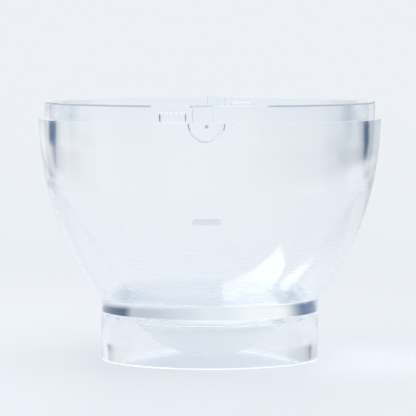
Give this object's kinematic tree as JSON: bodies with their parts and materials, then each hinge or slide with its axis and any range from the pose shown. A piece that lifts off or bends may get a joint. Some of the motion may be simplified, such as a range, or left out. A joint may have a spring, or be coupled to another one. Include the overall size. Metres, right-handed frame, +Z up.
{
  "type": "ice cream maker bowl",
  "caption": "Clear round ice cream maker bowl with a bayonet rim collar, solid base disc, frosted cup underneath and a tube foot.",
  "frame": {"origin": "centre of the foot's resting face, on the bowl's axis", "axes": "+Z up along the bowl's axis; the latch notch with the pin faces -Y; +X to the right seen from that side"},
  "size_m": [0.1878, 0.1872, 0.1414],
  "materials": {
    "clear_plastic": "turned and polished clear acrylic, very slightly blue",
    "frosted_plastic": "frosted translucent plastic",
    "clear_silicone": "clear silicone, satin",
    "pin_steel": "small dark steel pin",
    "mark_plastic": "frosted raised mark"
  },
  "bodies": {
    "foot": {"foot_ring": "clear_plastic"},
    "bowl": {"base_disc": "clear_plastic", "foot_seal": "clear_silicone", "base_cup": "frosted_plastic", "bowl_shell": "clear_plastic", "rim_collar": "clear_plastic", "bayonet_key_front": "clear_plastic", "bayonet_key_rear": "clear_plastic", "bayonet_lug_front": "clear_plastic", "bayonet_lug_rear": "clear_plastic", "interlock_pin": "pin_steel", "fill_mark": "mark_plastic"},
    "seat": {"seat_ring": "clear_silicone"}
  },
  "joints": [
    {"name": "bowl_lift", "type": "slide", "parent": "foot", "child": "bowl", "axis": [0, 0, 1], "range_m": [0, 0.035]},
    {"name": "seat_ring_lift", "type": "slide", "parent": "bowl", "child": "seat", "axis": [0, 0, 1], "range_m": [0, 0.1]}
  ]
}
